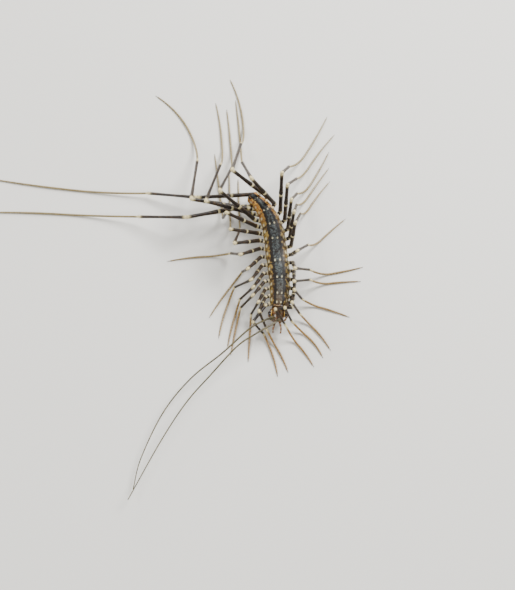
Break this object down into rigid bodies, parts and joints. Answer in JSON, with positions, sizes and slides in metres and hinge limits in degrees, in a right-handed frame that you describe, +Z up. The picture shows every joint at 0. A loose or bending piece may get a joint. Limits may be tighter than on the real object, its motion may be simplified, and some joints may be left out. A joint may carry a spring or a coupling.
{
  "type": "house centipede",
  "caption": "Life-size still house centipede standing on many long thin legs, with a plated body, round eyes, biting claws and two long feelers held to one side.",
  "frame": {"origin": "centre of the bounding box at floor level, under the middle of the animal", "axes": "+Z up, the head towards -Y, the animal's left side towards +X"},
  "size_m": [0.1052, 0.1164, 0.0178],
  "materials": {
    "back": "horny back plates and flanks, blue-grey and brown, slightly waxy",
    "head": "smooth horny shell, brown",
    "eye": "dark faceted eye, glossy",
    "feeler": "fine ringed feeler, pale olive",
    "leg": "smooth horny leg, dark brown with pale joints"
  },
  "bodies": {
    "root": {"head": "head", "eye_left": "eye", "eye_right": "eye", "antenna_left": "feeler", "antenna_right": "feeler", "forcipule_left": "head", "forcipule_right": "head", "palp_left": "head", "palp_right": "head", "trunk_1": "back", "trunk_2": "back", "trunk_3": "back", "trunk_4": "back", "trunk_5": "back", "trunk_6": "back", "trunk_7": "back", "trunk_8": "back", "tail": "back", "leg_left_01": "leg", "leg_right_01": "leg", "leg_left_02": "leg", "leg_right_02": "leg", "leg_left_03": "leg", "leg_right_03": "leg", "leg_left_04": "leg", "leg_right_04": "leg", "leg_left_05": "leg", "leg_right_05": "leg", "leg_left_06": "leg", "leg_right_06": "leg", "leg_left_07": "leg", "leg_right_07": "leg", "leg_left_08": "leg", "leg_right_08": "leg", "leg_left_09": "leg", "leg_right_09": "leg", "leg_left_10": "leg", "leg_right_10": "leg", "leg_left_11": "leg", "leg_right_11": "leg", "leg_left_12": "leg", "leg_right_12": "leg", "leg_left_13": "leg", "leg_right_13": "leg", "leg_left_14": "leg", "leg_right_14": "leg", "leg_left_15": "leg", "leg_right_15": "leg"}
  },
  "joints": []
}
